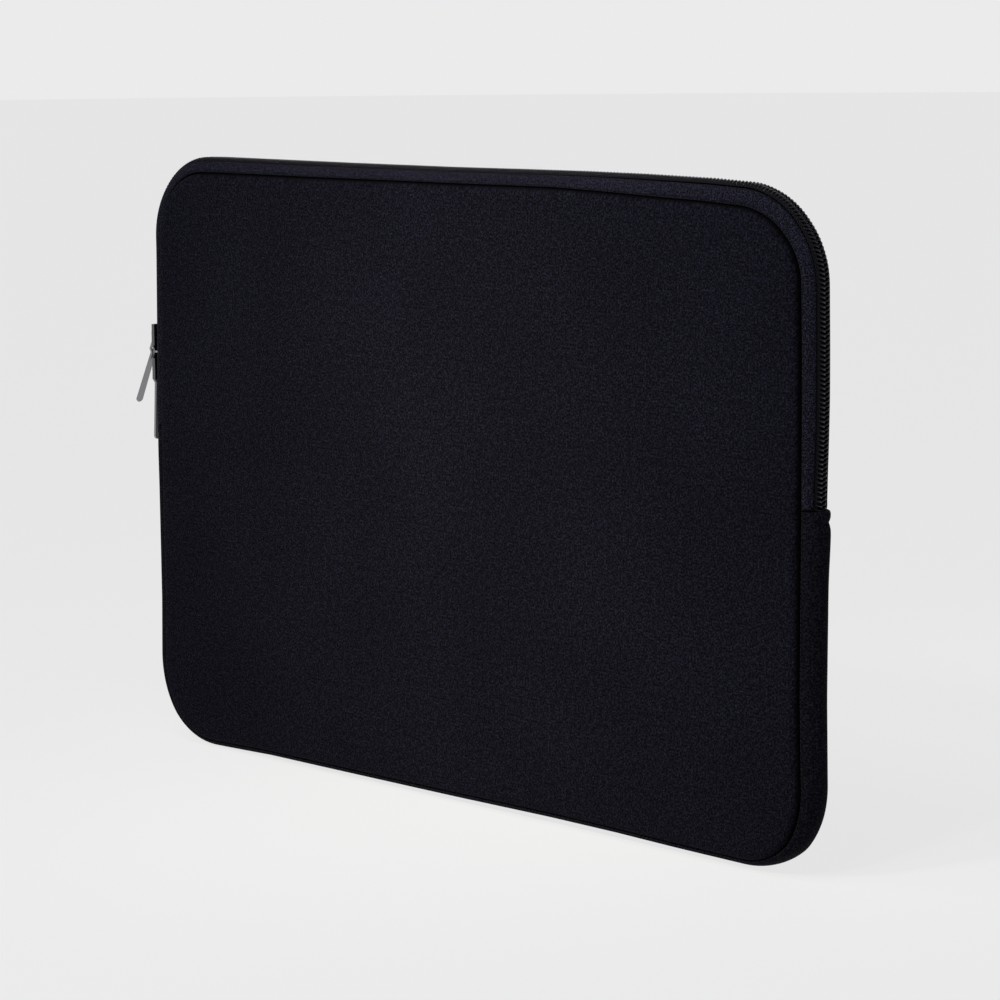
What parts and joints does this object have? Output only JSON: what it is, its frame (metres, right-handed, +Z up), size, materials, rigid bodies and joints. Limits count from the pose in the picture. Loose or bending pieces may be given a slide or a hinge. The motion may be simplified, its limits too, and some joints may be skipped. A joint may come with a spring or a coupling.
{
  "type": "laptop sleeve",
  "caption": "Slim padded neoprene laptop sleeve with rounded corners and a coil zip with paired sliders round its upper half.",
  "frame": {"origin": "middle of the narrow flat along the bottom edge that the sleeve stands on", "axes": "+X to the right along the long edge seen from the front, +Y from the front panel to the back panel, +Z up; the front panel faces -Y"},
  "size_m": [0.3656, 0.0152, 0.2398],
  "materials": {
    "knit": "matt fine knit",
    "foam": "matt closed-cell foam",
    "lining": "brushed pile",
    "binding": "woven",
    "thread": "twisted polyester",
    "zip_coil": "semi-gloss",
    "zip_tape": "woven",
    "slider_metal": "dark nickel",
    "pull_metal": "polished nickel"
  },
  "bodies": {
    "sleeve": {"back_knit": "knit", "back_foam": "foam", "back_lining": "lining", "front_knit_lower": "knit", "front_foam_lower": "foam", "front_lining_lower": "lining", "gusset_knit": "knit", "gusset_foam": "foam", "gusset_lining": "lining", "back_band_knit": "knit", "back_band_foam": "foam", "back_zip_coil": "zip_coil", "back_zip_tape": "zip_tape", "back_binding": "binding", "front_binding_lower": "binding", "back_seam_thread": "thread", "front_seam_thread_lower": "thread", "zip_end_tacks": "thread"},
    "front_flap": {"front_knit_flap": "knit", "front_foam_flap": "foam", "front_lining_flap": "lining", "front_band_knit": "knit", "front_band_foam": "foam", "front_zip_coil": "zip_coil", "front_zip_tape": "zip_tape", "front_binding_flap": "binding", "front_seam_thread_flap": "thread"},
    "upper_slider": {"upper_slider_body": "slider_metal", "upper_slider_crown": "slider_metal"},
    "upper_pull": {"upper_pull": "pull_metal"},
    "lower_slider": {"lower_slider_body": "slider_metal", "lower_slider_crown": "slider_metal"},
    "lower_pull": {"lower_pull": "pull_metal"}
  },
  "joints": [
    {"name": "mouth_open", "type": "hinge", "parent": "sleeve", "child": "front_flap", "pos_m": [0, -0.0076, 0.12915], "axis": [1, 0, 0], "range_deg": [0, 40], "stiffness_Nm_per_rad": 0.15, "deforming": ["front_zip_coil"]},
    {"name": "upper_slider_run", "type": "slide", "parent": "sleeve", "child": "upper_slider", "axis": [0, 0, 1], "range_m": [0, 0.035]},
    {"name": "lower_slider_run", "type": "slide", "parent": "sleeve", "child": "lower_slider", "axis": [0, 0, 1], "range_m": [-0.018, 0]},
    {"name": "upper_pull_swing", "type": "hinge", "parent": "upper_slider", "child": "upper_pull", "pos_m": [-0.17745, 0, 0.163], "axis": [0, 1, 0], "range_deg": [0, 80]},
    {"name": "lower_pull_swing", "type": "hinge", "parent": "lower_slider", "child": "lower_pull", "pos_m": [-0.17745, 0, 0.1512], "axis": [0, 1, 0], "range_deg": [0, 22]}
  ]
}
